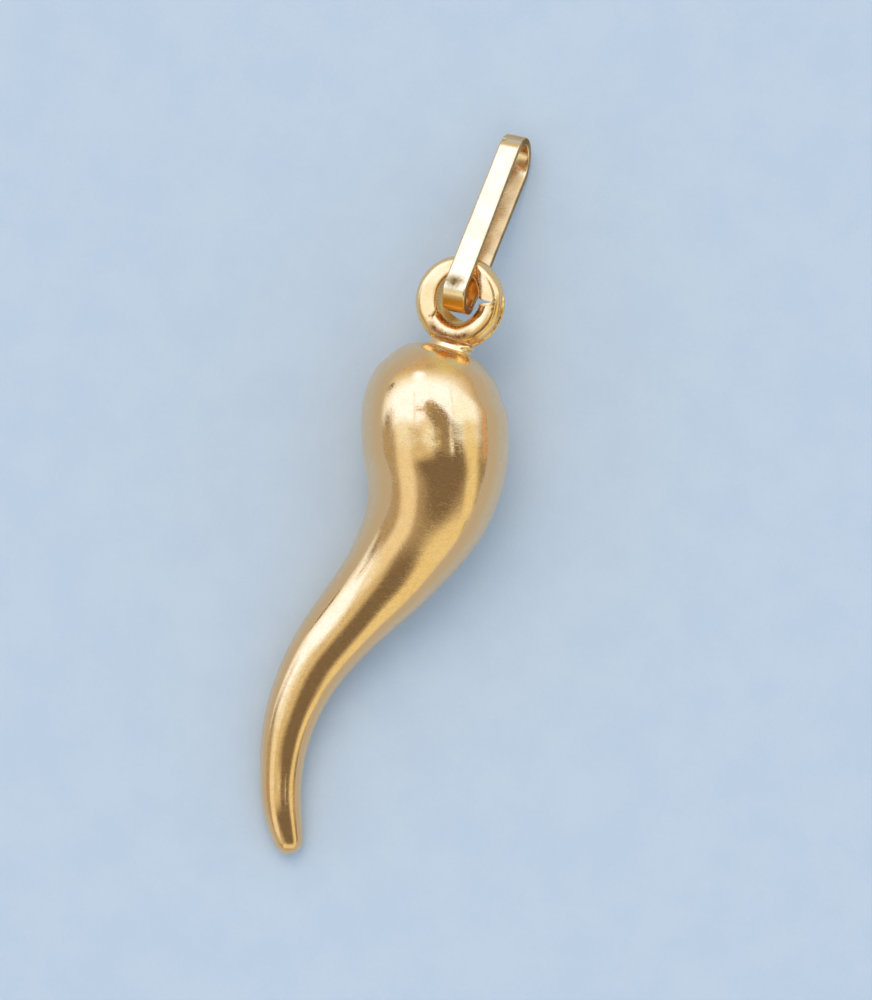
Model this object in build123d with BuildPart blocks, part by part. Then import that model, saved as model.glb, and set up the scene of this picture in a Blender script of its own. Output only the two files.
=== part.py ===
from build123d import *
import math
import os

# A hollow horn charm lying on its side, its soldered eye ring, and the long bail threaded through it.
# Millimetres. +Y runs from the tip of the horn to the far end of the bail, +Z is up.
# The surface it lies on is z = 0.
# Whole thing: about 33 long, 7 across the S of the horn, 6.4 thick at the bulb.

# Horn: a row for each round section, from the tip to the neck
# across, along: middle of the section seen from above;  radius: of the section
horn_rows = [
    (-0.76, -15.97, 0.63),
    (-1.46, -14.69, 0.85),
    (-1.98, -13.17, 0.94),
    (-2.28, -11.36, 1.10),
    (-2.20, -9.27, 1.29),
    (-1.70, -7.25, 1.50),
    (-0.98, -5.49, 1.69),
    (-0.24, -3.82, 1.95),
    (0.32, -2.14, 2.28),
    (0.62, -0.63, 2.65),
    (0.62, 0.69, 2.94),
    (0.40, 1.80, 3.14),
    (0.06, 2.85, 3.21),
    (-0.28, 3.85, 3.18),
    (-0.44, 4.68, 3.00),
    (-0.49, 5.50, 2.60),
    (-0.51, 6.10, 2.13),
    (-0.52, 6.56, 1.56),
    (-0.53, 6.86, 0.95),
]
bulb_radius = max(radius for across, along, radius in horn_rows)
bulb_along = 2.85
tip_length = 0.54  # the rounded end beyond the first row
tip_turns = (70, 45, 20)  # degrees round the end, one section for each
neck_rise = 3.0  # degrees that the top of the horn points up from the surface
shell_wall = 0.25  # gold of the hollow stamped shell
rest_gap = 0.03  # the underside waves by this much, so its lowest spots alone touch the surface

# Collar, the short neck that the ring is soldered to
collar_foot_radius = 0.98
collar_radius = 0.82
collar_foot_along = 6.20
collar_waist_along = 6.72
collar_top_along = 7.02
solder_top_along = 7.55
solder_top_radius = 0.42

# Eye ring: a thick ring with an oval hole, its front face turned to the left and towards the horn
ring_across = -0.66
ring_along = 8.79
ring_radius = 2.00
ring_depth = 1.02
ring_edge = 0.27
hole_width = 1.98
hole_height = 2.42
hole_shift = 0.09  # the hole sits this much nearer the bail than the ring's middle
ring_lean = 19.0
ring_pitch = 7.0
slit_angle = 16.5  # degrees from +X, where the ends of the ring's wire meet badly
slit_mouth = 0.20
slit_root = 0.05
slit_inner = 0.70  # the slit runs from inside the hole
slit_reach = 1.62  # to this distance from the ring's middle

# Bail: a closed loop of flat strip, narrow at the ring and wide at the chain end
strip_width = 1.00
strip_thickness = 0.32
strip_edge = 0.05
bail_length = 8.90
bail_foot_depth = 1.88
bail_top_depth = 2.30
bail_foot_corner = 0.52
bail_top_corner = 1.10
bail_across = -1.10  # where the upper face starts, next to the foot bend
bail_along = 9.28
bail_height = 5.17
bail_heading = 3.6  # degrees from +Y towards +X
bail_slope = 24.4  # degrees down to the surface
bail_roll = 20.0  # degrees, right edge up


def axis_height(along, radius):
    """Height of the horn's middle: it rests on its underside, and past the bulb it rises a little."""
    past_bulb = along - bulb_along
    if past_bulb <= 0:
        return radius + rest_gap
    return bulb_radius + rest_gap + past_bulb * math.tan(math.radians(neck_rise))


def horn_spine():
    """Middle line of the horn seen from above, as points with their tangents."""
    with BuildLine() as spine:
        path = Spline([(across, along) for across, along, radius in horn_rows])
    return [(row, path.tangent_at(Vector(row[0], row[1], 0))) for row in horn_rows]


def horn_sections(inset):
    """Upright planes and radii of the horn's sections, made smaller all over by the inset."""
    sections = []
    stations = horn_spine()
    (tip_across, tip_along, tip_radius), tip_tangent = stations[0]
    for turn in tip_turns:
        angle = math.radians(turn)
        reach = (tip_length - inset) * math.sin(angle)
        radius = (tip_radius - inset) * math.cos(angle)
        middle = Vector(tip_across, tip_along, axis_height(tip_along, tip_radius)) - tip_tangent * reach
        sections.append((Plane(middle, x_dir=(0, 0, 1), z_dir=tip_tangent), radius))
    for (across, along, radius), tangent in stations:
        if radius - inset > shell_wall:
            middle = Vector(across, along, axis_height(along, radius))
            sections.append((Plane(middle, x_dir=(0, 0, 1), z_dir=tangent), radius - inset))
    return sections


# Directions of the neck, the ring and the bail
collar_waist = collar_waist_along - collar_foot_along
collar_top = collar_top_along - collar_foot_along
solder_top = solder_top_along - collar_foot_along
bail_far = bail_length - bail_foot_corner
neck_height = axis_height(collar_foot_along, bulb_radius)
ring_height = axis_height(ring_along, bulb_radius)
neck_x = horn_rows[-1][0]
neck_rise_to_ring = ring_height - neck_height
neck_axis = Vector(ring_across - neck_x, ring_along - collar_foot_along, neck_rise_to_ring).normalized()
collar_plane = Plane((neck_x, collar_foot_along, neck_height), x_dir=neck_axis, z_dir=(0, 0, 1))
ring_plane = Plane((ring_across, ring_along, ring_height)).rotated((ring_pitch, -ring_lean, 0))

heading = math.radians(bail_heading)
slope = math.radians(bail_slope)
roll = math.radians(bail_roll)
level_ahead = Vector(math.sin(heading), math.cos(heading), 0)
level_right = Vector(math.cos(heading), -math.sin(heading), 0)
along_bail = level_ahead * math.cos(slope) - Vector(0, 0, math.sin(slope))
level_up = level_right.cross(along_bail)
across_bail = level_right * math.cos(roll) + level_up * math.sin(roll)
bail_plane = Plane((bail_across, bail_along, bail_height), x_dir=along_bail, z_dir=across_bail)

os.makedirs("parts", exist_ok=True)

# Eye ring, one band with rounded rims, an oval hole and a badly met joint
with BuildPart() as eye_ring:
    with BuildSketch(ring_plane.offset(-ring_depth / 2)):
        Circle(ring_radius)
        with Locations((0, hole_shift)):
            Ellipse(hole_width / 2, hole_height / 2, mode=Mode.SUBTRACT)
    extrude(amount=ring_depth)
    fillet(eye_ring.edges().filter_by(GeomType.LINE, reverse=True), ring_edge)
    with BuildSketch(ring_plane.offset(-ring_depth)):
        with Locations(Location((0, 0), slit_angle)):
            Polygon(
                (slit_inner, slit_mouth / 2),
                (slit_inner, -slit_mouth / 2),
                (slit_reach, -slit_root / 2),
                (slit_reach, slit_root / 2),
                align=None,
            )
    extrude(amount=ring_depth * 2, mode=Mode.SUBTRACT)

with BuildPart() as horn:
    # stamped shell
    for plane, radius in horn_sections(0):
        with BuildSketch(plane):
            Circle(radius)
    loft()

    # collar, with a tongue of solder up into the foot of the ring
    with BuildSketch(collar_plane):
        with BuildLine():
            Polyline(
                (0, 0),
                (0, collar_foot_radius),
                (collar_waist, collar_radius),
                (collar_top, collar_radius),
                (solder_top, solder_top_radius),
                (solder_top, 0),
                close=True,
            )
        make_face()
    revolve(axis=Axis(collar_plane.origin, collar_plane.x_dir))
    add(eye_ring.part)

    # sealed hollow of the shell
    for plane, radius in horn_sections(shell_wall):
        with BuildSketch(plane):
            Circle(radius)
    loft(mode=Mode.SUBTRACT)
horn.part.label = "horn"
export_step(horn.part, "parts/horn.step")

# Bail, seen from its side: upper bar straight, lower bar spreading towards the chain end
with BuildPart() as bail:
    with BuildSketch(bail_plane):
        with BuildLine():
            FilletPolyline(
                (-bail_foot_corner, 0),
                (bail_far, 0),
                (bail_far, -bail_top_depth),
                (-bail_foot_corner, -bail_foot_depth),
                radius=[bail_foot_corner, bail_top_corner, bail_top_corner, bail_foot_corner],
                close=True,
            )
        make_face()
        offset(amount=-strip_thickness, mode=Mode.SUBTRACT)
    extrude(amount=strip_width / 2, both=True)
    strip_sides = bail.faces().sort_by(Axis(bail_plane.origin, bail_plane.z_dir))
    fillet(strip_sides[0].edges() + strip_sides[-1].edges(), strip_edge)
bail.part.label = "bail"
export_step(bail.part, "parts/bail.step")
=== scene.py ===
import math

import bpy
import numpy as np
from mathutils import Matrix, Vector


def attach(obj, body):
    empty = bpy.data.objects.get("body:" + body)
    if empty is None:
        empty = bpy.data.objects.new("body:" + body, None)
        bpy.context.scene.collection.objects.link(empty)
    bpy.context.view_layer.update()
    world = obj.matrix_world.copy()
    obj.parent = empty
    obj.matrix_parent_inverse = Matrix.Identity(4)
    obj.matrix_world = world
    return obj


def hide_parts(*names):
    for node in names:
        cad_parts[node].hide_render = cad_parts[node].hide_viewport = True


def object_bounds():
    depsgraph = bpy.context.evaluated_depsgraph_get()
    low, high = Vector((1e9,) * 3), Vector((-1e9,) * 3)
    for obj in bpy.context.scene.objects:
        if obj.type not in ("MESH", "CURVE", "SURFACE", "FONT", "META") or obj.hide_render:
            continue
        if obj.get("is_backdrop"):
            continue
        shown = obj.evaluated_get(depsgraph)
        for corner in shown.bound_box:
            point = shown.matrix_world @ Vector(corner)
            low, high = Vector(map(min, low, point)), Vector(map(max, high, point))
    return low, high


# Looks of the horn charm: polished hollow horn, soldered collar and eye ring, long strip bail.
# Shapes are worked out in millimetres and put into the meshes in metres, in the frame of the CAD model.
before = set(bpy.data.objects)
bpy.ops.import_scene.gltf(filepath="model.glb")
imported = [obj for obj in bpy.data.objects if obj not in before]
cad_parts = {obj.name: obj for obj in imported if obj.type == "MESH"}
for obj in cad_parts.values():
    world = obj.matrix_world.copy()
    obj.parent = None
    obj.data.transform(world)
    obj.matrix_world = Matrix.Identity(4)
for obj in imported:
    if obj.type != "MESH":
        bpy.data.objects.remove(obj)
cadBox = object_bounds()
metresPerMm = 0.001
print("frame loaded:", sorted(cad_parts))


# Helpers for shapes

def unit(vectors):  # each vector divided by its own length
    return vectors / np.linalg.norm(vectors, axis=-1, keepdims=True)


def softStep(value, start, end):  # 0 before start, 1 after end, and 3t^2 - 2t^3 between them
    share = np.clip((value - start) / (end - start), 0.0, 1.0)
    return share * share * (3 - 2 * share)


def hump(value, middle, width):  # bell curve, 1 at the middle and 0.37 one width away
    return np.exp(-((value - middle) / width) ** 2)


def angleHump(angle, middle, width):  # the bell curve on a circle, all in degrees
    away = (angle - middle + 180) % 360 - 180
    return hump(away, 0, width)


def fairCurve(places, values, readAt, easing):
    # Natural cubic spline that may leave its rows a little to keep its bending low (a smoothing spline):
    # the bends solve (R + easing Q'Q) bend = Q' values, and the eased values are values - easing Q bend.
    gaps = np.diff(places)
    count = len(places)
    lift = np.zeros((count, count - 2))
    inner = np.arange(count - 2)
    lift[inner, inner] = 1 / gaps[:-1]
    lift[inner + 1, inner] = -1 / gaps[:-1] - 1 / gaps[1:]
    lift[inner + 2, inner] = 1 / gaps[1:]
    carry = np.diag((gaps[:-1] + gaps[1:]) / 3) + np.diag(gaps[1:-1] / 6, 1) + np.diag(gaps[1:-1] / 6, -1)
    bend = np.linalg.solve(carry + easing * lift.T @ lift, lift.T @ values)
    eased = values - easing * lift @ bend
    bend = np.concatenate([np.zeros((1,) + bend.shape[1:]), bend, np.zeros((1,) + bend.shape[1:])])
    cell = np.clip(np.searchsorted(places, readAt) - 1, 0, count - 2)
    after = ((readAt - places[cell]) / gaps[cell])[:, None]
    before = 1 - after
    bowed = (before ** 3 - before) * bend[cell] + (after ** 3 - after) * bend[cell + 1]
    sag = bowed * gaps[cell][:, None] ** 2 / 6
    return before * eased[cell] + after * eased[cell + 1] + sag


def ripples(points, wavelength, height, seed):
    # Sum of six plane sine waves with random directions and phases: the faint dents that polishing leaves.
    chance = np.random.default_rng(seed)
    directions = unit(chance.normal(size=(6, 3))) * (2 * math.pi / wavelength)
    stretch = chance.uniform(0.6, 1.5, 6)
    phases = chance.uniform(0, 2 * math.pi, 6)
    return height * np.sin(points @ (directions * stretch[:, None]).T + phases).sum(-1) / 6


def gridNormals(points, joined):  # cross product of the two grid directions at every grid point
    padded = np.concatenate([points[:, -1:], points, points[:, :1]], axis=1)
    around = (padded[:, 2:] - padded[:, :-2]) / 2
    if joined:
        tall = np.concatenate([points[-1:], points, points[:1]], axis=0)
        along = (tall[2:] - tall[:-2]) / 2
    else:
        along = np.gradient(points, axis=0)
    return unit(np.cross(around, along))


def gridPiece(name, points, joined, marks, sharpEnds=False):
    # Closed skin on a grid: columns always join round, and rows join too or end in a pole at their middle.
    # Six times the enclosed volume, summed from the corners of its faces, tells which way the skin faces.
    rows, columns = points.shape[:2]
    index = np.arange(rows * columns).reshape(rows, columns)
    nextColumn = np.roll(index, -1, axis=1)
    if joined:
        nextRow = np.roll(index, -1, axis=0)
        opposite = np.roll(nextColumn, -1, axis=0)
        quads = np.stack([index, nextColumn, opposite, nextRow], axis=-1).reshape(-1, 4)
        fans = []
        places = points.reshape(-1, 3)
    else:
        quads = np.stack([index[:-1], nextColumn[:-1], nextColumn[1:], index[1:]], axis=-1).reshape(-1, 4)
        first = np.full(columns, rows * columns)
        last = first + 1
        lower = np.stack([nextColumn[0], index[0], first], axis=-1)
        upper = np.stack([index[-1], nextColumn[-1], last], axis=-1)
        fans = np.concatenate([lower, upper]).tolist()
        places = np.concatenate([points.reshape(-1, 3), points[:1].mean(1), points[-1:].mean(1)])
    corners = places[quads]
    volume = (corners[:, 0] * np.cross(corners[:, 1], corners[:, 2])).sum()
    volume = volume + (corners[:, 0] * np.cross(corners[:, 2], corners[:, 3])).sum()
    faces = quads.tolist() + fans
    if volume < 0:
        faces = [face[::-1] for face in faces]
    mesh = bpy.data.meshes.new(name)
    mesh.from_pydata((places * metresPerMm).tolist(), [], faces)
    mesh.polygons.foreach_set("use_smooth", np.ones(len(faces), bool))
    if sharpEnds:
        ends = np.zeros(len(mesh.edges) * 2, dtype=int)
        mesh.edges.foreach_get("vertices", ends)
        row = ends.reshape(-1, 2) // columns
        sharp = (row == 0).all(1) | (row == rows - 1).all(1)
        mesh.edges.foreach_set("use_edge_sharp", sharp)
    for markName, mark in marks.items():
        values = np.zeros(len(places))
        values[:rows * columns] = mark.reshape(-1)
        mesh.attributes.new(markName, "FLOAT", "POINT").data.foreach_set("value", values)
    # skin: millimetres along the rows and round the columns, for patterns that follow the shape
    stepAlong = np.linalg.norm(np.diff(points, axis=0, prepend=points[:1]), axis=-1).mean(1)
    stepRound = np.linalg.norm(np.diff(points, axis=1, prepend=points[:, :1]), axis=-1)
    skin = np.zeros((len(places), 3))
    skin[:rows * columns, 0] = np.repeat(np.cumsum(stepAlong), columns)
    skin[:rows * columns, 1] = np.cumsum(stepRound, axis=1).reshape(-1)
    mesh.attributes.new("skin", "FLOAT_VECTOR", "POINT").data.foreach_set("vector", skin.reshape(-1))
    mesh.validate()
    piece = bpy.data.objects.new(name, mesh)
    bpy.context.scene.collection.objects.link(piece)
    return piece


# Helpers for shaders

class Wire:  # a node socket that Python's own operators work on: each use adds one Math node
    def __init__(self, tree, socket):
        self.tree = tree
        self.socket = socket

    def math(self, operation, first, second=0.0):
        return self.tree.node("ShaderNodeMath", {"operation": operation}, {0: first, 1: second})

    def __add__(self, other):
        return self.math("ADD", self, other)

    def __radd__(self, other):
        return self.math("ADD", other, self)

    def __sub__(self, other):
        return self.math("SUBTRACT", self, other)

    def __rsub__(self, other):
        return self.math("SUBTRACT", other, self)

    def __mul__(self, other):
        return self.math("MULTIPLY", self, other)

    def __rmul__(self, other):
        return self.math("MULTIPLY", other, self)

    def __truediv__(self, other):
        return self.math("DIVIDE", self, other)


class Tree:  # the node tree of a material or of the world
    def __init__(self, owner):
        owner.use_nodes = True
        self.nodes = owner.node_tree.nodes
        self.links = owner.node_tree.links
        self.nodes.clear()

    def find(self, sockets, key):
        if isinstance(key, int):
            return sockets[key]
        return next(s for s in sockets if key in (s.identifier, s.name))

    def node(self, kind, settings=None, sockets=None, output=0):
        # any node: its settings are set first, then the values and links of its sockets
        made = self.nodes.new(kind)
        for name, value in (settings or {}).items():
            setattr(made, name, value)
        for key, value in (sockets or {}).items():
            socket = self.find(made.inputs, key)
            if isinstance(value, Wire):
                self.links.new(value.socket, socket)
            else:
                socket.default_value = value
        return Wire(self, self.find(made.outputs, output)) if len(made.outputs) else made


def noise(tree, where, scale, detail, roughness):  # cloudy values about 0.5, at so many to the millimetre
    sockets = {"Vector": where, "Scale": scale, "Detail": detail, "Roughness": roughness}
    return tree.node("ShaderNodeTexNoise", {}, sockets)


def smooth(tree, value, start, end):  # 0 at start, 1 at end, eased at both
    settings = {"interpolation_type": "SMOOTHSTEP", "clamp": True}
    sockets = {"Value": value, "From Min": start, "From Max": end}
    return tree.node("ShaderNodeMapRange", settings, sockets)


def mixed(tree, share, first, second):  # first where share is 0, second where it is 1
    sockets = {"Factor_Float": share, "A_Color": first, "B_Color": second}
    return tree.node("ShaderNodeMix", {"data_type": "RGBA"}, sockets, "Result_Color")


def stretched(tree, where, scale, turn):  # the pattern's own axes, turned and then squeezed
    sockets = {"Vector": where, "Rotation": turn, "Scale": scale}
    return tree.node("ShaderNodeMapping", {"vector_type": "TEXTURE"}, sockets)


# Camera: straight down on the charm, its long axis leaning over as in the photograph

photo = {
    "height": 1000,  # pixels
    "pixelsPerMm": 23.0,  # at the height of the horn's middle line
    "turn": 17.41,  # degrees from the frame's +Y to the top of the picture
    "middle": (0.911, 0.269),  # what the centre of the picture looks at, across and along
    "middleHeight": 3.0,
    "lens": 200.0,
    "sensor": 36.0,
}

turn = math.radians(photo["turn"])
pictureRight = np.array([math.cos(turn), math.sin(turn), 0])
pictureUp = np.array([-math.sin(turn), math.cos(turn), 0])
cameraData = bpy.data.cameras.new("camera")
cameraData.lens = photo["lens"]
cameraData.sensor_width = photo["sensor"]
cameraData.clip_start = 0.01
cameraData.clip_end = 10
camera = bpy.data.objects.new("camera", cameraData)
cameraRise = photo["height"] / photo["pixelsPerMm"] * photo["lens"] / photo["sensor"] + photo["middleHeight"]
camera.location = [v * metresPerMm for v in (*photo["middle"], cameraRise)]
camera.rotation_euler = (0, 0, turn)
bpy.context.scene.collection.objects.link(camera)
bpy.context.scene.camera = camera
bpy.context.scene.view_settings.view_transform = "Standard"
print("camera set")


# Light: one soft studio room, painted on the sky as panels over each other

lights = {  # linear colours of what the gold mirrors
    "window": (1.30, 1.60, 2.20),
    "pane": (1.45, 1.72, 2.45),
    "sheer": (1.14, 1.42, 1.62),
    "cream": (1.00, 1.12, 1.06),
    "pale": (0.94, 0.92, 0.72),
    "gold": (0.90, 0.85, 0.52),
    "honey": (0.78, 0.71, 0.45),
    "tan": (0.66, 0.58, 0.38),
    "brown": (0.48, 0.42, 0.29),
    "umber": (0.34, 0.29, 0.19),
    "dark": (0.215, 0.175, 0.115),
    "rust": (0.80, 0.48, 0.24),
    "backdrop": (0.52, 0.64, 0.785),  # what the camera sees past the edge of the floor
    "sky": (0.70, 0.755, 0.82),  # what the paper is lit by: an even sky
    "key": (4.15, 3.3, 2.55),  # and a soft light over it
}

# right, up: middle, in degrees from straight up towards the picture's right and top
# wide, tall: half sizes in degrees;  turn, edge: degrees;  then its light, and an oval or a box
keyPanel = (-8, 32, 18, 18, 0, 10, "key", "oval")  # the soft light over the paper
panels = [  # each lies over those before it
    (0, 0, 200, 200, 0, 1, "brown", "box"),  # walls all round
    (-3, 36, 79, 56, 0, 16, "tan", "oval"),
    (-8, 12, 81, 52, 0, 12, "cream", "oval"),
    (-6, 10, 74, 42, 0, 9, "window", "oval"),  # great window
    (50, 12, 17, 24, -10, 6, "sheer", "box"),  # its right-hand wing
    (30, 20, 1.4, 22, 0, 2, "cream", "box"),  # bars of the window
    (-31.5, 12, 0.9, 19, 0, 1, "gold", "box"),
    (-22, 57, 10, 8, 0, 4, "pane", "oval"),  # high pane
    (-71, 4, 1.6, 10, 5, 1.2, "tan", "box"),
    (-66, 3, 1.1, 8, 4, 1.2, "gold", "box"),
    (-78, -2, 6, 10, 0, 4, "umber", "oval"),
    (-75, 39, 9, 3.2, 38, 1.5, "dark", "oval"),
    (0, -54, 120, 49, 0, 5, "brown", "box"),  # lower walls
    (57, -4, 12, 6, 0, 4, "cream", "box"),
    (-50, -29, 14, 27, 0, 6, "pale", "box"),  # lit wall on the left
    (12, -68, 46, 13, 0, 6, "gold", "box"),  # lit wall at the bottom
    (58, -31, 11, 29, 0, 5, "gold", "box"),  # lit wall on the right
    (81, -29, 7, 10, 0, 5, "umber", "box"),
    (10, -28, 40, 27, 0, 7, "dark", "oval"),  # dark canopy over the table
    (-20, -14, 18, 8, 15, 8, "honey", "box"),
    (-46, -6, 16, 6, 0, 4, "cream", "oval"),
    (-12, -4, 13, 5, 0, 3, "pale", "oval"),
    (-7, -8, 12, 4, 0, 2, "cream", "oval"),
    (-35, -7, 8, 1.0, 0, 1.5, "tan", "box"),
    (-3, 10, 14, 11, -25, 2, "brown", "oval"),  # dark screens in front of it
    (9, 1, 18, 12, -38, 3, "umber", "oval"),
    (21, -8, 7, 8, -20, 3, "umber", "box"),
    (-20, 11, 9, 2.6, -4, 1.2, "tan", "box"),
    (5, -9, 4, 2.2, 0, 2, "gold", "oval"),
    (26, -9, 3.2, 5.5, 10, 1.5, "cream", "oval"),
    (84, 2, 2.4, 16, 0, 3, "rust", "box"),  # warm bar low on the right
    (2, 75, 9, 3, 0, 4, "brown", "oval"),
]


def panelMask(tree, place, panel):
    # The place is taken into the panel's own square, -1 to 1 both ways.
    # The mask is 1 inside it and 0 outside, eased over the edge.
    right, up, wide, tall, turnedBy, edge, light, form = panel
    settings = {"vector_type": "TEXTURE"}
    sockets = {"Vector": place, "Location": (right, up, 0), "Scale": (wide, tall, 1)}
    sockets["Rotation"] = (0, 0, math.radians(turnedBy))
    inside = tree.node("ShaderNodeMapping", settings, sockets)
    if form == "oval":
        share = edge / min(wide, tall)
        away = tree.node("ShaderNodeVectorMath", {"operation": "LENGTH"}, {0: inside}, "Value")
        return smooth(tree, away, 1 + share, 1 - share)
    away = tree.node("ShaderNodeVectorMath", {"operation": "ABSOLUTE"}, {0: inside})
    settings = {"data_type": "FLOAT_VECTOR", "interpolation_type": "SMOOTHSTEP", "clamp": True}
    outer = (1 + edge / wide, 1 + edge / tall, 2)
    inner = (1 - edge / wide, 1 - edge / tall, 1)
    sockets = {"Vector": away, "From_Min_FLOAT3": outer, "From_Max_FLOAT3": inner}
    eased = tree.node("ShaderNodeMapRange", settings, sockets, "Vector")
    across = tree.node("ShaderNodeSeparateXYZ", {}, {0: eased}, "X")
    along = tree.node("ShaderNodeSeparateXYZ", {}, {0: eased}, "Y")
    return across * along


def studioWorld():
    world = bpy.data.worlds.new("studio")
    bpy.context.scene.world = world
    tree = Tree(world)
    ray = tree.node("ShaderNodeTexCoord", output="Generated")

    def part(direction):
        axis = tuple(float(v) for v in direction)
        return tree.node("ShaderNodeVectorMath", {"operation": "DOT_PRODUCT"}, {0: ray, 1: axis}, "Value")

    # degrees from straight up, shared out to the right and up by the direction of the ray
    rise = part((0, 0, 1))
    lean = rise.math("ARCCOSINE", rise) * (180 / math.pi)
    level = rise.math("SQRT", 1.0001 - rise * rise)
    spread = lean / level
    sockets = {"X": part(pictureRight) * spread, "Y": part(pictureUp) * spread}
    place = tree.node("ShaderNodeCombineXYZ", {}, sockets)
    glow = (0, 0, 0, 1)
    for panel in panels:
        glow = mixed(tree, panelMask(tree, place, panel), glow, (*lights[panel[6]], 1))
    above = mixed(tree, panelMask(tree, place, keyPanel), (*lights["sky"], 1), (*lights["key"], 1))
    mirrored = tree.node("ShaderNodeBackground", {}, {"Color": glow, "Strength": 1.0})
    overPaper = tree.node("ShaderNodeBackground", {}, {"Color": above, "Strength": 1.0})
    plain = tree.node("ShaderNodeBackground", {}, {"Color": (*lights["backdrop"], 1), "Strength": 1.0})
    glossy = tree.node("ShaderNodeLightPath", output="Is Glossy Ray")
    seen = tree.node("ShaderNodeLightPath", output="Is Camera Ray")
    lit = tree.node("ShaderNodeMixShader", {}, {0: glossy, 1: overPaper, 2: mirrored})
    both = tree.node("ShaderNodeMixShader", {}, {0: seen, 1: lit, 2: plain})
    tree.node("ShaderNodeOutputWorld", {}, {"Surface": both})


studioWorld()
print("light set")


# Floor: matt pale blue paper

paper = {
    "size": 1.2,  # metres
    "drop": 0.01,  # millimetres under the frame's zero, just clear of the charm
    "colour": (0.52, 0.65, 0.80, 1),
    "cloudColour": (0.545, 0.675, 0.815, 1),
    "cloudsPerMm": 0.35,
    "fibresPerMm": 6.0,
    "fibreHeight": 0.02,  # millimetres
    "roughness": 0.9,
    "gloss": 0.2,
}


def makeFloor():
    half = paper["size"] / 2
    height = -paper["drop"] * metresPerMm
    corners = [(-half, -half, height), (half, -half, height), (half, half, height), (-half, half, height)]
    mesh = bpy.data.meshes.new("floor")
    mesh.from_pydata(corners, [], [(0, 1, 2, 3)])
    floor = bpy.data.objects.new("floor", mesh)
    bpy.context.scene.collection.objects.link(floor)
    material = bpy.data.materials.new("palePaper")
    tree = Tree(material)
    place = tree.node("ShaderNodeTexCoord", output="Object")
    where = tree.node("ShaderNodeVectorMath", {"operation": "SCALE"}, {0: place, "Scale": 1 / metresPerMm})
    clouds = noise(tree, where, paper["cloudsPerMm"], 4, 0.6)
    fibres = noise(tree, where, paper["fibresPerMm"], 4, 0.65)
    share = smooth(tree, clouds * 0.7 + fibres * 0.3, 0.38, 0.62)
    colour = mixed(tree, share, paper["colour"], paper["cloudColour"])
    bump = {"Strength": 0.6, "Distance": paper["fibreHeight"] * metresPerMm, "Height": fibres}
    normal = tree.node("ShaderNodeBump", {}, bump)
    sockets = {"Base Color": colour, "Roughness": paper["roughness"], "Normal": normal}
    sockets["Specular IOR Level"] = paper["gloss"]
    shader = tree.node("ShaderNodeBsdfPrincipled", {}, sockets)
    tree.node("ShaderNodeOutputMaterial", {}, {"Surface": shader})
    mesh.materials.append(material)
    floor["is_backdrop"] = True


makeFloor()
print("floor laid")


# Gold: one recipe, with a dictionary of its finish for each piece
# All heights in it are in millimetres. Three marks on the mesh, 0 to 1, say where it is worn, where it is
# darkened (mostly painted shade and painted dark reflections), and where it is tinted amber (painted
# reflection and shade, and solder on the collar).

goldMottle = {  # what all the pieces share
    "cloudsPerMm": 0.9,
    "specksPerMm": 15.0,
    "blotchesPerMm": 4.0,
    "hairStretch": (1.1, 0.07, 1.1),  # hair scratches: how long and how thin, in millimetres
    "hairRoughness": 0.10,
    "shadeAndGrimeRoughness": 0.2,
}


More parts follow.
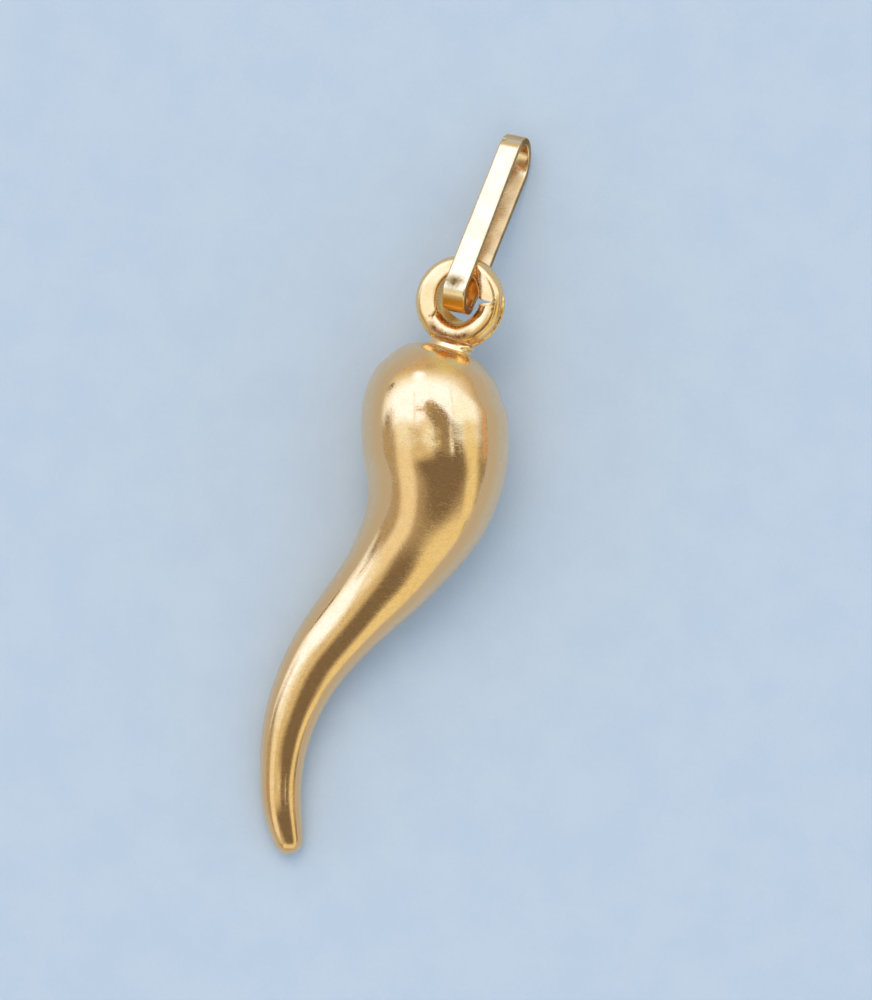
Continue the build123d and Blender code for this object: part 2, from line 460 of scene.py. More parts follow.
def goldMaterial(name, finish):
    material = bpy.data.materials.new(name)
    tree = Tree(material)
    place = tree.node("ShaderNodeTexCoord", output="Object")
    where = tree.node("ShaderNodeVectorMath", {"operation": "SCALE"}, {0: place, "Scale": 1 / metresPerMm})
    skin = tree.node("ShaderNodeAttribute", {"attribute_name": "skin"}, output="Vector")
    wear = tree.node("ShaderNodeAttribute", {"attribute_name": "wear"}, output="Fac")
    shadeAndGrime = tree.node("ShaderNodeAttribute", {"attribute_name": "shadeAndGrime"}, output="Fac")
    amberAndPaintedLight = tree.node("ShaderNodeAttribute", {"attribute_name": "amberAndPaintedLight"}, output="Fac")
    clouds = noise(tree, where, goldMottle["cloudsPerMm"], 3, 0.55)
    # strokes of the polishing run round the piece, finer specks lie between them
    squeeze = {0: skin, 1: finish["strokesPerMm"]}
    strokePlace = tree.node("ShaderNodeVectorMath", {"operation": "MULTIPLY"}, squeeze)
    strokes = noise(tree, strokePlace, 1.0, 2, 0.6)
    grain = noise(tree, where, finish["grainPerMm"], 2, 0.6)
    spots = smooth(tree, grain * 0.6 + strokes * 0.4, 0.46, 0.66)
    pitting = smooth(tree, noise(tree, where, finish["pitsPerMm"], 3, 0.6), 0.52, 0.66)
    hairPlace = stretched(tree, where, goldMottle["hairStretch"], (0.3, 0.2, finish["hairTurn"]))
    hairs = smooth(tree, noise(tree, hairPlace, 1.0, 3, 0.7), 0.62, 0.72)
    deep = smooth(tree, clouds, 0.40, 0.70) * finish["colourDrift"] + pitting * wear * 0.5
    colour = mixed(tree, deep, finish["colour"], finish["deepColour"])
    # darker specks, a few to the tenth of a millimetre, and softer blotches between them
    specks = smooth(tree, noise(tree, where, goldMottle["specksPerMm"], 2, 0.7), 0.46, 0.64)
    blotches = smooth(tree, noise(tree, where, goldMottle["blotchesPerMm"], 3, 0.6), 0.42, 0.66)
    colour = mixed(tree, (specks * 0.6 + blotches * 0.4) * finish["speckle"], colour, finish["speckColour"])
    # painted reflection: where the surface turns away from the view, a band takes a warmer, darker rim colour
    # that stands in for the warm room mirrored low round the horizon
    facing = tree.node("ShaderNodeLayerWeight", {}, {"Blend": 0.5}, "Facing")
    comesIn, full, leaves, gone = finish["rimReflectionFacing"]
    rimReflection = smooth(tree, facing, comesIn, full) * smooth(tree, facing, gone, leaves)
    colour = mixed(tree, rimReflection, colour, finish["rimReflectionColour"])
    # amber tint where marked: painted reflection and painted shade, and solder colour on the collar
    colour = mixed(tree, amberAndPaintedLight, colour, finish["amberAndPaintedLightColour"])
    # darkening where marked: painted shade and painted dark reflections, and darker grooves and pits
    colour = mixed(tree, shadeAndGrime * (0.55 + 0.45 * pitting), colour, finish["shadeAndGrimeColour"])
    roughness = finish["roughness"] + spots * finish["spotRoughness"] + hairs * goldMottle["hairRoughness"]
    roughness = roughness + wear * finish["wearRoughness"] + shadeAndGrime * goldMottle["shadeAndGrimeRoughness"]
    height = grain * finish["grainHeight"] + strokes * finish["strokeHeight"] - hairs * finish["hairHeight"]
    height = height - pitting * wear * finish["pitHeight"] + clouds * finish["dentHeight"]
    height = height - spots * finish["spotHeight"]
    normal = tree.node("ShaderNodeBump", {}, {"Strength": 1.0, "Distance": metresPerMm, "Height": height})
    sockets = {"Base Color": colour, "Metallic": 1.0, "Roughness": roughness, "Normal": normal}
    shader = tree.node("ShaderNodeBsdfPrincipled", {}, sockets)
    tree.node("ShaderNodeOutputMaterial", {}, {"Surface": shader})
    return material


# Horn shell

hornShape = {
    # across, along: middle of each round section seen from above;  radius: of the section
    "rows": [
        (-0.49, -16.46, 0.52),
        (-1.05, -15.48, 0.74),
        (-1.46, -14.69, 0.85),
        (-1.98, -13.17, 0.94),
        (-2.28, -11.36, 1.10),
        (-2.20, -9.27, 1.29),
        (-1.70, -7.25, 1.51),
        (-0.98, -5.49, 1.69),
        (-0.24, -3.82, 1.95),
        (0.32, -2.14, 2.28),
        (0.62, -0.63, 2.65),
        (0.62, 0.69, 2.94),
        (0.41, 1.80, 3.14),
        (0.13, 2.67, 3.20),
        (-0.28, 3.85, 3.18),
        (-0.44, 4.68, 3.00),
        (-0.49, 5.50, 2.60),
        (-0.51, 6.05, 2.16),
        (-0.51, 6.42, 1.70),
        (-0.51, 6.64, 1.22),
        (-0.51, 6.74, 0.78),
    ],
    "easing": 0.002,  # how far the rows are faired
    "tipRounding": 0.62,  # length of the rounded end
    "tipPower": 2.5,  # 2 is a round end, more is blunter
    "bulbAlong": 2.85,
    "bulbRadius": 3.21,
    "restGap": 0.03,
    "neckRise": 3.0,  # degrees
    "dentWavelength": 3.4,
    "dentHeight": 0.006,
    "collarSpot": (-0.45, 6.45),  # round here the gold is worn, and tinted amber as a painted reflection of the collar in the dome
    "collarSpotReach": (0.55, 1.05),  # full up to here, gone beyond here
    "rowCount": 360,
    "columnCount": 192,
}

hornFinish = {
    "colour": (0.94, 0.66, 0.385, 1),
    "deepColour": (0.91, 0.60, 0.31, 1),
    # the rim colour below is a painted reflection of the warm room low round the horizon
    "rimReflectionColour": (0.94, 0.55, 0.25, 1),
    "rimReflectionFacing": (0.28, 0.33, 0.38, 0.60),  # where it comes in and goes out again: 0 is facing, 1 edge on
    "shadeAndGrimeColour": (0.30, 0.18, 0.08, 1),
    # the amber colour below is a painted reflection of the collar on the dome
    "amberAndPaintedLightColour": (1.00, 0.74, 0.30, 1),
    "speckColour": (0.62, 0.40, 0.21, 1),
    "colourDrift": 0.4,
    "roughness": 0.075,
    "grainPerMm": 12.0,
    "speckle": 0.34,
    "spotRoughness": 0.17,
    "spotHeight": 0.0011,
    "grainHeight": 0.0008,
    "strokesPerMm": (14.0, 3.2, 1.0),  # along the piece and round it
    "strokeHeight": 0.0006,
    "pitsPerMm": 7.0,
    "pitHeight": 0.006,
    "hairTurn": 0.5,
    "hairHeight": 0.0004,
    "dentHeight": 0.004,
    "wearRoughness": 0.25,
}


def axisHeight(along, radius):  # the shell rests on its underside; past the bulb the neck points up a little
    shape = hornShape
    pastBulb = np.maximum(along - shape["bulbAlong"], 0)
    resting = radius + shape["restGap"]
    rising = shape["bulbRadius"] + shape["restGap"] + pastBulb * math.tan(math.radians(shape["neckRise"]))
    blend = softStep(along, shape["bulbAlong"] - 0.6, shape["bulbAlong"] + 0.6)
    return resting * (1 - blend) + rising * blend


def hornSurface():
    # point = spine(v) + r(v) (side(v) cos u + up sin u), with r rounded off to nothing over the last stretch:
    # r = row radius x (1 - (1 - s/rounding)^power)^(1/power), where s is the way from the tip.
    shape = hornShape
    table = np.array(shape["rows"])
    steps = np.linalg.norm(np.diff(table, axis=0), axis=1)
    places = np.concatenate([[0], np.cumsum(steps)])
    ease = np.linspace(0, 1, shape["rowCount"])
    readAt = places[-1] * (0.25 * ease ** 2 * (3 - 2 * ease) + 0.75 * ease) ** 1.12
    readAt[0] = 0.004
    across, along, rowRadius = fairCurve(places, table, readAt, shape["easing"]).T
    fromTip = np.clip(1 - readAt / shape["tipRounding"], 0, 1)
    radius = rowRadius * (1 - fromTip ** shape["tipPower"]) ** (1 / shape["tipPower"])
    spine = np.stack([across, along, axisHeight(along, rowRadius)], axis=1)
    heading = unit(np.gradient(spine[:, :2], axis=0))
    side = np.stack([heading[:, 1], -heading[:, 0], np.zeros(len(heading))], axis=1)
    around = np.linspace(0, 2 * math.pi, shape["columnCount"], endpoint=False) - math.pi / 2
    out = side[:, None] * np.cos(around)[None, :, None] + np.array([0, 0, 1]) * np.sin(around)[None, :, None]
    points = spine[:, None] + out * radius[:, None, None]
    quiet = softStep(radius, 0.2, 1.2)[:, None]
    dents = ripples(points, shape["dentWavelength"], shape["dentHeight"], 4) * quiet
    points = points + out * np.minimum(dents, 0)[..., None]
    return points


hornPoints = hornSurface()
fromCollar = np.linalg.norm(hornPoints[..., :2] - np.array(hornShape["collarSpot"]), axis=-1)
byCollar = (1 - softStep(fromCollar, *hornShape["collarSpotReach"])) * softStep(hornPoints[..., 2], 2.0, 4.0)
# near the collar the dome is worn, and tinted amber as a painted reflection of the collar
hornMarks = {"wear": byCollar * 0.4, "shadeAndGrime": 0 * byCollar, "amberAndPaintedLight": byCollar * 0.8}
hornShell = gridPiece("hornShell", hornPoints, False, hornMarks)
hornShell.data.materials.append(goldMaterial("polishedGoldHorn", hornFinish))
print("horn shell made:", len(hornShell.data.polygons), "faces")


# Eye ring: a C-shaped band whose ends meet badly

ringShape = {
    "middle": (-0.66, 8.79, 3.551),
    "pitch": 7.0,  # degrees that its bottom is lower than its top
    "lean": 19.0,  # degrees that its front turns to the left
    "radius": 2.00,
    "halfDepth": 0.51,
    "holeHalfWidth": 0.99,
    "holeHalfHeight": 1.14,
    "holeShift": 0.16,
    "rightTrim": 0.07,  # the hole is this much narrower on its right
    "ledge": 0.26,  # how far solder fills the back of the hole, low on the left
    "ledgeTurn": 256.0,
    "gapTurn": 17.2,  # degrees from its own right-hand side
    "gapMouth": 0.24,
    "gapReach": 1.70,
    "upperRounding": 0.20,  # of the two ends
    "lowerRounding": 0.10,
    "beadFrom": 214.0,  # the lower part is a round bead, the rest is polished flat
    "innerPower": 9.0,
    "outerPower": 2.6,
    "beadPower": 2.1,
    "stepDepth": 0.075,  # the back of the outer wall stands out behind the bead by this much
    "seamTurn": 280.0,  # where the rough step of the outer wall starts
    "seamReach": (15, 96, 112, 135, 160),  # degrees on: full, thinning, thin, fading, gone
    "wallTrim": 0.06,
    "seamPlace": (-0.04, 0.10),  # ridge of solder: how far forward of the middle, and its half width
    "seamHeight": (0.014, 0.022),  # its own, and how much its roughness adds
    "groovePlace": (0.09, 0.05),
    "grooveDepth": 0.025,
    # pits beside the gap, on the bead, and where the bead starts: turn, way out, depth, half width
    "pits": ((19, 1.76, 0.010, 0.05), (6, 1.70, 0.008, 0.06), (226, 1.38, 0.012, 0.05)),
    "turnCount": 640,
    "sectionCount": 144,
}

ringFinish = {
    "colour": (0.95, 0.67, 0.37, 1),
    "deepColour": (0.90, 0.57, 0.24, 1),
    # the rim colour below is a painted reflection of the room round the horizon
    "rimReflectionColour": (0.96, 0.65, 0.30, 1),
    "rimReflectionFacing": (0.22, 0.38, 0.50, 0.80),
    # the shade colour below darkens the bead's painted dark reflection band, the bore, the groove and the
    # pits
    "shadeAndGrimeColour": (0.25, 0.12, 0.035, 1),
    # the amber colour below is a painted reflection of gold in the bore and on the bead's outer flank, and
    # tints the back of the outer wall
    "amberAndPaintedLightColour": (0.98, 0.55, 0.14, 1),
    "speckColour": (0.70, 0.45, 0.22, 1),
    "colourDrift": 0.5,
    "roughness": 0.14,
    "grainPerMm": 12.0,
    "spotRoughness": 0.16,
    "spotHeight": 0.0004,
    "speckle": 0.25,
    "grainHeight": 0.0010,
    "strokesPerMm": (9.0, 4.0, 1.0),
    "strokeHeight": 0.0008,
    "pitsPerMm": 8.0,
    "pitHeight": 0.007,
    "hairTurn": 1.1,
    "hairHeight": 0.0005,
    "dentHeight": 0.008,
    "wearRoughness": 0.16,
}


def ringAxes():
    # Right, top and front of the ring: the frame's axes pitched about X, then leaned about the new Y.
    pitch = math.radians(ringShape["pitch"])
    lean = math.radians(ringShape["lean"])
    top = np.array([0, math.cos(pitch), math.sin(pitch)])
    level = np.array([0, -math.sin(pitch), math.cos(pitch)])
    right = np.array([math.cos(lean), 0, 0]) + level * math.sin(lean)
    front = np.array([-math.sin(lean), 0, 0]) + level * math.cos(lean)
    return right, top, front


def ringSurface():
    # point = middle + rho (right cos a + top sin a) + front h, where (rho, h) runs round a superellipse
    # between the oval hole and the outer circle, and a leaves a wedge free between the two ends.
    # The hole's rho at a turn solves its ellipse, shifted up: a rho^2 + b rho + c = 0.
    shape = ringShape
    right, top, front = ringAxes()
    share = np.linspace(0, 1, shape["turnCount"])[:, None]
    section = np.linspace(0, 2 * math.pi, shape["sectionCount"], endpoint=False)[None, :] + math.radians(225)
    turnNow = (shape["gapTurn"] + 360 * share) % 360
    angle = np.radians(turnNow)
    halfWidth = shape["holeHalfWidth"]
    halfHeight = shape["holeHalfHeight"]
    shift = shape["holeShift"]
    a = (np.cos(angle) / halfWidth) ** 2 + (np.sin(angle) / halfHeight) ** 2
    b = -2 * np.sin(angle) * shift / halfHeight ** 2
    c = (shift / halfHeight) ** 2 - 1
    trim = shape["rightTrim"] * softStep(np.cos(angle), 0.3, 0.9)
    hole = (-b + np.sqrt(b * b - 4 * a * c)) / (2 * a) - trim
    bead = softStep((turnNow - shape["beadFrom"]) % 360, 0, 16)
    beadEnd = 360 + shape["gapTurn"] - shape["beadFrom"]
    bead = bead * (1 - softStep((turnNow - shape["beadFrom"]) % 360, beadEnd - 6, beadEnd + 2))
    frontShare = softStep(np.sin(section), -0.2, 0.5)
    outerShare = softStep(np.cos(section), -0.4, 0.4)
    flatPower = shape["innerPower"] + (shape["outerPower"] - shape["innerPower"]) * outerShare
    power = flatPower + (shape["beadPower"] - flatPower) * bead * frontShare
    bulge = (np.abs(np.cos(section)) ** power + np.abs(np.sin(section)) ** power) ** (-1 / power)
    swell = np.cos(section) * bulge
    rise = np.sin(section) * bulge
    outer = shape["radius"]
    rho = (outer + hole) / 2 + (outer - hole) / 2 * swell
    ledge = shape["ledge"] * angleHump(turnNow, shape["ledgeTurn"], 50)
    rho = rho - ledge * softStep(-swell, 0.3, 0.9) * softStep(-rise, -0.2, 0.9)
    # rounding of the two ends: quarter circles, on their inner side
    middleRho = (outer + hole) / 2
    inner = softStep(middleRho + 0.25 - rho, 0, 0.5)
    for fromEnd, radius in ((share, shape["upperRounding"]), (1 - share, shape["lowerRounding"])):
        away = np.clip(1 - fromEnd * 2 * math.pi * middleRho / radius, 0, 1)
        rho = rho + radius * (1 - np.sqrt(1 - away ** 2)) * inner
    depth = shape["halfDepth"] * rise
    # the wedge between the ends
    wedge = shape["gapMouth"] * np.clip((shape["gapReach"] - rho) / (shape["gapReach"] - 0.95), 0, 1.1)
    gap = wedge / rho / 2
    angle = math.radians(shape["gapTurn"]) + gap + share * (2 * math.pi - 2 * gap)
    points = (rho * np.cos(angle))[..., None] * right + (rho * np.sin(angle))[..., None] * top
    points = points + depth[..., None] * front
    return points + np.array(shape["middle"]), np.degrees(angle), section, bead


def makeRing():
    shape = ringShape
    points, turnNow, section, bead = ringSurface()
    right, top, front = ringAxes()
    middle = np.array(shape["middle"])
    normals = gridNormals(points, False)
    outward = np.sign((normals * (points - middle)).sum())
    normals = normals * outward
    sectionTurn = np.degrees(section) + 0 * turnNow
    # rough step on the outer wall, from the solder up past the gap
    full, thinning, thin, fading, gone = shape["seamReach"]
    fromSolder = (turnNow - shape["seamTurn"]) % 360
    seamPart = softStep(fromSolder, 0, full) * (1 - 0.75 * softStep(fromSolder, thinning, thin))
    seamPart = seamPart * (1 - softStep(fromSolder, fading, gone))
    outerWall = softStep(np.cos(section), 0.45, 0.75)
    depth = (points - middle) @ front
    rough = ripples(points, 0.28, 1.0, 11)
    seamHeight, seamRoughness = shape["seamHeight"]
    behind = softStep(depth, 0.06, -0.06) * outerWall * seamPart
    seam = hump(depth, *shape["seamPlace"]) * outerWall * seamPart
    groove = hump(depth, *shape["groovePlace"]) * outerWall * seamPart
    lift = behind * shape["stepDepth"] - outerWall * seamPart * shape["wallTrim"]
    lift = lift + seam * (seamHeight + seamRoughness * rough) - groove * shape["grooveDepth"]
    lift = lift + ripples(points, 1.5, 0.010, 7)
    # each pit is centred on the grid point nearest to its place on the front
    pits = 0 * lift
    for pitTurn, pitRho, pitDepth, pitWidth in shape["pits"]:
        pitAngle = math.radians(pitTurn)
        inPlane = right * pitRho * math.cos(pitAngle) + top * pitRho * math.sin(pitAngle)
        target = inPlane + front * shape["halfDepth"]
        away = np.linalg.norm(points - middle - target, axis=-1)
        away = np.linalg.norm(points - points.reshape(-1, 3)[np.argmin(away)], axis=-1)
        lift = lift - pitDepth * hump(away, 0, pitWidth)
        pits = pits + hump(away, 0, pitWidth)
    points = points + normals * lift[..., None]
    # marks: the bead's flat top is scratched and darkened as a painted dark reflection band; the bore is
    # tinted amber as a painted reflection of the gold across the hole, and so is what lies below the bead, as
    # a painted orange reflection
    scratchedDarkReflection = bead * angleHump(sectionTurn, 84, 18) * softStep(turnNow % 360, 228, 245)
    scratchedDarkReflection = scratchedDarkReflection * (1 - softStep(turnNow % 360, 300, 325))
    bore = softStep(-np.cos(section), 0.62, 0.76) + 0 * turnNow
    wearMark = np.clip(behind * 0.6 + scratchedDarkReflection + bore * 0.3, 0, 1)
    shadeAndGrimeMark = scratchedDarkReflection * 1.5 + bore * 0.15 + groove * 0.6 + np.clip(pits, 0, 1) * 0.8
    below = bead * softStep(np.cos(section), 0.1, 0.6) * (1 - outerWall * softStep(turnNow % 360, 290, 320))
    amberAndPaintedLightMark = np.clip(bore * 0.85 + below * 0.45 + behind * 0.5, 0, 1)
    marks = {"wear": wearMark, "shadeAndGrime": shadeAndGrimeMark, "amberAndPaintedLight": amberAndPaintedLightMark}
    ring = gridPiece("eyeRing", points, False, marks, True)
    ring.data.materials.append(goldMaterial("polishedGoldRing", ringFinish))
    return ring


eyeRing = makeRing()
print("eye ring made:", len(eyeRing.data.polygons), "faces")


# Collar and solder between the dome of the horn and the ring

collarShape = {
    "foot": (-0.52, 6.30),  # across and along, on the horn's own axis
    # way: from the foot towards the ring;  wide, deep: half sizes;  slide: to the right
    "rows": [
        (0.00, 1.06, 1.06, 0.00),
        (0.30, 1.00, 1.00, 0.00),
        (0.45, 0.95, 0.94, 0.01),
        (0.58, 0.91, 0.88, 0.02),
        (0.69, 0.88, 0.82, 0.03),
        (0.75, 0.88, 0.70, 0.03),
        (0.81, 0.89, 0.55, 0.03),
        (0.90, 0.93, 0.44, 0.02),
        (1.05, 1.00, 0.38, 0.00),
        (1.20, 1.05, 0.34, 0.00),
        (1.35, 1.00, 0.26, 0.00),
    ],
    # lumps of solder: way, degrees round from the right over the front, height, width along, degrees wide
    "lumps": (
        (0.66, 18, 0.15, 0.16, 26),
        (0.60, -20, 0.10, 0.20, 30),
        (0.78, 172, 0.07, 0.14, 24),
        (0.76, 60, 0.03, 0.06, 12),
    ),
    "foldWay": 0.80,  # where the neck meets the underside of the ring, darkened there as painted shade in the crook
    "rowCount": 120,
    "columnCount": 160,
}

collarFinish = {
    "colour": (0.98, 0.78, 0.52, 1),
    "deepColour": (0.93, 0.62, 0.27, 1),
    # the rim colour below is a painted reflection of the room round the horizon
    "rimReflectionColour": (0.95, 0.62, 0.32, 1),
    "rimReflectionFacing": (0.22, 0.38, 0.50, 0.80),
    # the shade colour below is painted shade in the crook under the ring
    "shadeAndGrimeColour": (0.25, 0.14, 0.06, 1),
    "amberAndPaintedLightColour": (1.00, 0.70, 0.28, 1),
    "speckColour": (0.75, 0.50, 0.26, 1),
    "colourDrift": 0.5,
    "roughness": 0.15,
    "grainPerMm": 12.0,
    "spotRoughness": 0.18,
    "spotHeight": 0.0004,
    "speckle": 0.25,
    "grainHeight": 0.0010,
    "strokesPerMm": (8.0, 5.0, 1.0),
    "strokeHeight": 0.0008,
    "pitsPerMm": 8.0,
    "pitHeight": 0.007,
    "hairTurn": 0.2,
    "hairHeight": 0.0005,
    "dentHeight": 0.012,
    "wearRoughness": 0.2,
}


def collarSurface():
    # point = foot + way w + wide(w) right cos u + deep(w) front sin u:
    # an oval tube from the dome of the horn up into the ring, turned from upright to the ring's own plane.
    shape = collarShape
    right, top, front = ringAxes()
    table = np.array(shape["rows"])
    places = table[:, 0]
    readAt = np.linspace(places[0], places[-1], shape["rowCount"])
    wide, deep, slide = fairCurve(places, table[:, 1:], readAt, 0.00002).T
    across, along = shape["foot"]
    foot = np.array([across, along, axisHeight(np.array(along), np.array(hornShape["bulbRadius"]))])
    aim = unit(np.array(ringShape["middle"]) - foot)
    turning = softStep(readAt, 0.2, 1.0)[:, None]
    level = unit(np.cross(aim, np.array([0, 0, 1.0])))
    wideWay = unit(level * (1 - turning) + right * turning)
    deepWay = unit(np.cross(wideWay, aim))
    around = np.linspace(0, 2 * math.pi, shape["columnCount"], endpoint=False)[None, :, None]
    points = foot + aim * readAt[:, None, None] + (wideWay * slide[:, None])[:, None]
    points = points + wideWay[:, None] * wide[:, None, None] * np.cos(around)
    points = points + deepWay[:, None] * deep[:, None, None] * np.sin(around)
    return points, readAt


def makeCollar():
    points, way = collarSurface()
    normals = gridNormals(points, False)
    outward = np.sign((normals * (points - points.mean((0, 1)))).sum())
    roundTurn = np.linspace(0, 360, collarShape["columnCount"], endpoint=False)[None]
    lift = ripples(points, 0.7, 0.02, 21) * softStep(way, 0.3, 0.7)[:, None]
    soldered = 0 * lift
    for lumpWay, lumpTurn, height, length, spread in collarShape["lumps"]:
        lump = hump(way, lumpWay, length)[:, None] * angleHump(roundTurn, lumpTurn, spread)
        soldered = soldered + lump
        lift = lift + lump * height * (1 + 0.5 * ripples(points, 0.3, 1.0, 5))
    points = points + normals * outward * lift[..., None]
    fold = hump(way, collarShape["foldWay"], 0.05)[:, None]
    wear = np.clip(softStep(way, 0.74, 0.80)[:, None] + soldered * 0.7, 0, 1)
    # painted shade in the crook where the neck meets the ring
    shadeAndGrime = np.clip(fold * 0.9 + 0 * lift, 0, 1)
    amberAndPaintedLight = np.clip(1 - softStep(way, 0.28, 0.42)[:, None] + soldered * 0.4, 0, 1)
    collar = gridPiece("collar", points, False, {"wear": wear, "shadeAndGrime": shadeAndGrime, "amberAndPaintedLight": amberAndPaintedLight})
    collar.data.materials.append(goldMaterial("solderedGold", collarFinish))
    return collar


collar = makeCollar()
print("collar made:", len(collar.data.polygons), "faces")


# Bail: flat strip bent into a closed loop, threaded through the ring

bailShape = {
    "thickness": 0.32,
    "footWidth": 1.02,
    "farWidth": 0.93,
    "edge": 0.07,
    # corners of the middle line of the bent strip
    # along from the foot, out from the upper face, and the radius of the bend
    "corners": [
        (-0.02, -0.16, 0.38),
        (8.22, -0.16, 0.90),
        (8.22, -2.14, 0.98),
        (-0.15, -1.73, 0.26),
        (-0.45, -0.92, 0.15),
    ],
    "start": (-1.10, 9.28, 5.17),  # on the upper face, next to the foot bend
    "heading": 3.6,  # degrees from +Y towards +X
    "slope": 24.4,  # degrees down to the surface
    "roll": 20.0,  # degrees, right edge up
    "lowerTwist": 17.0,  # degrees that the lower bar turns back to the right
    "dentWavelength": 1.2,
    "dentHeight": 0.016,
    "creasePlace": (7.62, 0.07),  # along, and half width, of the crease on the left of the far bend
    "creaseDepth": 0.07,
    "footPatch": (0.28, 0.24, -0.10, 0.34),  # worn patch by the foot, darkened as a painted dark reflection: along, half length, across, half width
    "loopCount": 720,
    "edgeCount": 8,
}

bailFinish = {
    "colour": (0.97, 0.76, 0.50, 1),
    "deepColour": (0.90, 0.60, 0.27, 1),
    # the rim colour below is a painted reflection of the room round the horizon
    "rimReflectionColour": (0.93, 0.60, 0.28, 1),
    "rimReflectionFacing": (0.35, 0.55, 0.80, 0.98),
    # the shade colour below is painted shade on the lower bar and the right side, a painted dark reflection
    # by the foot, and darkening at the far bend and crease
    "shadeAndGrimeColour": (0.25, 0.16, 0.05, 1),
    # the amber colour below is painted reflection on the foot and painted shade on the lower bar and the
    # right side
    "amberAndPaintedLightColour": (0.66, 0.27, 0.012, 1),
    "speckColour": (0.80, 0.55, 0.32, 1),
    "colourDrift": 0.4,
    "roughness": 0.15,
    "grainPerMm": 12.0,
    "spotRoughness": 0.07,
    "spotHeight": 0.0001,
    "speckle": 0.10,
    "grainHeight": 0.0008,
    "strokesPerMm": (2.0, 12.0, 1.0),
    "strokeHeight": 0.0006,
    "pitsPerMm": 9.0,
    "pitHeight": 0.004,
    "hairTurn": 0.0,
    "hairHeight": 0.0005,
    "dentHeight": 0.009,
    "wearRoughness": 0.2,
}


def bailAxes():  # along the strip, across it, and out of its upper face
    heading = math.radians(bailShape["heading"])
    slope = math.radians(bailShape["slope"])
    roll = math.radians(bailShape["roll"])
    ahead = math.cos(slope)
    along = np.array([math.sin(heading) * ahead, math.cos(heading) * ahead, -math.sin(slope)])
    levelRight = np.array([math.cos(heading), -math.sin(heading), 0])
    levelUp = np.cross(levelRight, along)
    across = levelRight * math.cos(roll) + levelUp * math.sin(roll)
    return along, across, np.cross(across, along)


def roundedLoop(corners, radii, count):
    # Straight sides joined by arcs: each arc touches both of its sides at radius x tan(half the turn)
    # from the corner. The line is then read at even steps and eased by a short running average.
    pieces = []
    for n, (corner, radius) in enumerate(zip(corners, radii)):
        arrive = unit(corner - corners[n - 1])
        leave = unit(corners[(n + 1) % len(corners)] - corner)
        turnAngle = math.atan2(arrive[0] * leave[1] - arrive[1] * leave[0], arrive @ leave)
        sideways = np.array([-arrive[1], arrive[0]]) * math.copysign(1, turnAngle)
        begin = corner - arrive * radius * math.tan(abs(turnAngle) / 2)
        swing = np.linspace(0, abs(turnAngle), 60)[:, None]
        pieces.append(begin + arrive * radius * np.sin(swing) + sideways * radius * (1 - np.cos(swing)))
    line = np.concatenate(pieces + [pieces[0][:1]])
    way = np.concatenate([[0], np.cumsum(np.linalg.norm(np.diff(line, axis=0), axis=1))])
    readAt = np.linspace(0, way[-1], count, endpoint=False)
    loop = np.stack([np.interp(readAt, way, line[:, k]) for k in (0, 1)], axis=1)
    window = np.hanning(11)[1:-1]
    window = window / window.sum()
    reach = len(window) // 2
    padded = np.concatenate([loop[-reach:], loop, loop[:reach]])
    return np.stack([np.convolve(padded[:, k], window, "valid") for k in (0, 1)], axis=1)


def stripSection(halfWidth, halfThick, edge, edgeCount):
    # Rectangle with quarter-circle corners and a few points on each flat
    quarter = np.linspace(0, math.pi / 2, edgeCount)
    arc = np.stack([np.cos(quarter), np.sin(quarter)], axis=1) * edge
    flat = np.linspace(0.1, 0.9, 9)[:, None]
    parts = []
    for n, (x, y) in enumerate(((1, 1), (-1, 1), (-1, -1), (1, -1))):
        turnedBy = n * math.pi / 2
        spin = np.array([[math.cos(turnedBy), math.sin(turnedBy)], [-math.sin(turnedBy), math.cos(turnedBy)]])
        parts.append(np.array([x * (halfWidth - edge), y * (halfThick - edge)]) + arc @ spin)
    ends = [part[-1] for part in parts]
    starts = [parts[(n + 1) % 4][0] for n in range(4)]
    flats = [end + (start - end) * flat for end, start in zip(ends, starts)]
    return np.concatenate([np.concatenate([part, side]) for part, side in zip(parts, flats)])


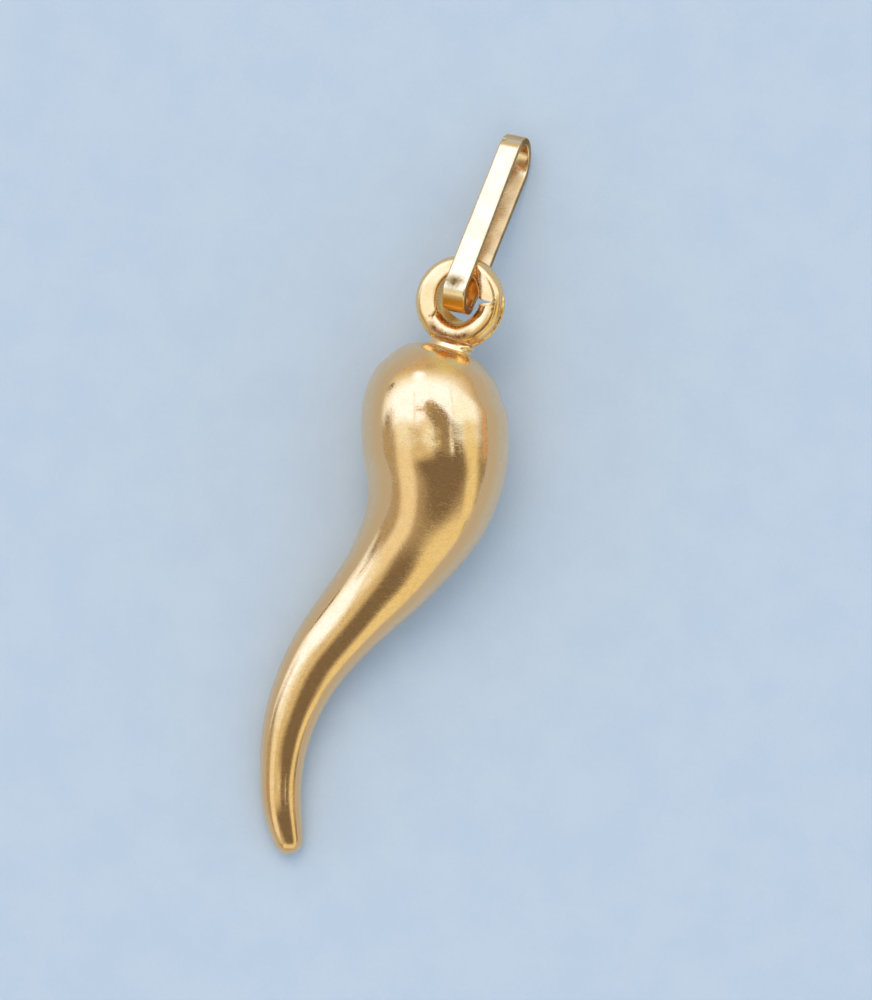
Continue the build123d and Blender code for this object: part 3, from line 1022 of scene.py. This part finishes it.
def makeBail():
    # point = start + along a + out d + across w: (a, d) goes round the bent loop, w across the strip
    shape = bailShape
    along, across, out = bailAxes()
    table = np.array(shape["corners"])
    loop = roundedLoop(table[:, :2], table[:, 2], shape["loopCount"])
    step = (np.roll(loop, -1, axis=0) - np.roll(loop, 1, axis=0)) / 2
    outside = unit(np.stack([-step[:, 1], step[:, 0]], axis=1))
    outside = outside * np.sign((outside * (loop - loop.mean(0))).sum())
    section = stripSection(0.5, shape["thickness"] / 2, shape["edge"], shape["edgeCount"])
    width = shape["footWidth"] + (shape["farWidth"] - shape["footWidth"]) * softStep(loop[:, 0], 0, 8)
    place = section[None, :, 0] * width[:, None]
    flat = loop[:, None] + outside[:, None] * section[None, :, 1:2]
    # the lower bar is turned, all is a little uneven, and the far bend has a crease on its left
    lowerBar = softStep(-loop[:, 1], 0.9, 1.7)[:, None] * softStep(loop[:, 0], 0.2, 1.6)[:, None]
    lowerBar = lowerBar * (1 - softStep(loop[:, 0], 7.0, 8.2))[:, None]
    tilt = -place * math.tan(math.radians(shape["lowerTwist"])) * lowerBar
    points = np.array(shape["start"]) + flat[..., :1] * along + flat[..., 1:] * out
    points = points + place[..., None] * across
    dents = ripples(points, shape["dentWavelength"], shape["dentHeight"], 31) * (0.3 + lowerBar * 1.7)
    crease = hump(loop[:, 0], *shape["creasePlace"])[:, None] * softStep(-place, 0.15, 0.4)
    crease = crease * softStep(loop[:, 1], -0.6, -0.2)[:, None]
    points = points + out * (tilt + dents - shape["creaseDepth"] * crease)[..., None]
    upperBar = softStep(loop[:, 1], -0.5, -0.2)[:, None]
    farBend = softStep(loop[:, 0], 7.5, 8.0)[:, None] * softStep(loop[:, 1], -1.5, -0.6)[:, None]
    patchAlong, patchLength, patchAcross, patchWidth = shape["footPatch"]
    footPatch = hump(loop[:, 0], patchAlong, patchLength)[:, None] * upperBar
    footPatch = footPatch * hump(place, patchAcross, patchWidth)
    # the slanted foot is tinted dark amber as a painted reflection of the horn and ring, lighter next to its
    # upper corner
    footFace = softStep(-loop[:, 0], -0.30, -0.12)[:, None] * softStep(-loop[:, 1], 0.30, 0.62)[:, None]
    footFace = footFace * (1 - softStep(-loop[:, 1], 1.6, 1.9))[:, None]
    # the right side face, darkened as painted shade
    rightSide = softStep(place / width[:, None], 0.485, 0.5) + 0 * tilt
    uneven = 0.5 + 0.5 * ripples(points, 0.9, 2.2, 8)
    # painted shade: the lower bar under the upper bar and the right side face are darkened and tinted amber;
    # the far bend and the crease are darkened too
    wear = np.clip(lowerBar * 0.2 + farBend * 0.9 + footPatch, 0, 1) + 0 * tilt
    shadeAndGrime = footPatch * 1.7 + farBend * 0.6 + crease * 0.7
    shadeAndGrime = shadeAndGrime + lowerBar * 0.45 * np.clip(uneven, 0, 1.5) ** 2 + rightSide * 1.1
    amberAndPaintedLight = footFace * 0.95 + lowerBar * 0.30 + rightSide * 0.25
    bail = gridPiece("bailLoop", points, True, {"wear": wear, "shadeAndGrime": shadeAndGrime, "amberAndPaintedLight": np.clip(amberAndPaintedLight, 0, 1)})
    bail.data.materials.append(goldMaterial("bailGold", bailFinish))
    return bail


bailLoop = makeBail()
print("bail made:", len(bailLoop.data.polygons), "faces")


# Each piece rides on the one body and stands for its CAD node

for piece, node, slot in (
    (hornShell, "horn", "polished_gold"),
    (collar, "horn", "polished_gold"),
    (eyeRing, "horn", "polished_gold"),
    (bailLoop, "bail", "bail_gold"),
):
    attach(piece, "root")
    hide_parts(node)

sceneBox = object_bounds()
for boxName, box in (("CAD box:", cadBox), ("scene box:", sceneBox)):
    print(boxName, [[round(v / metresPerMm, 2) for v in corner] for corner in box])
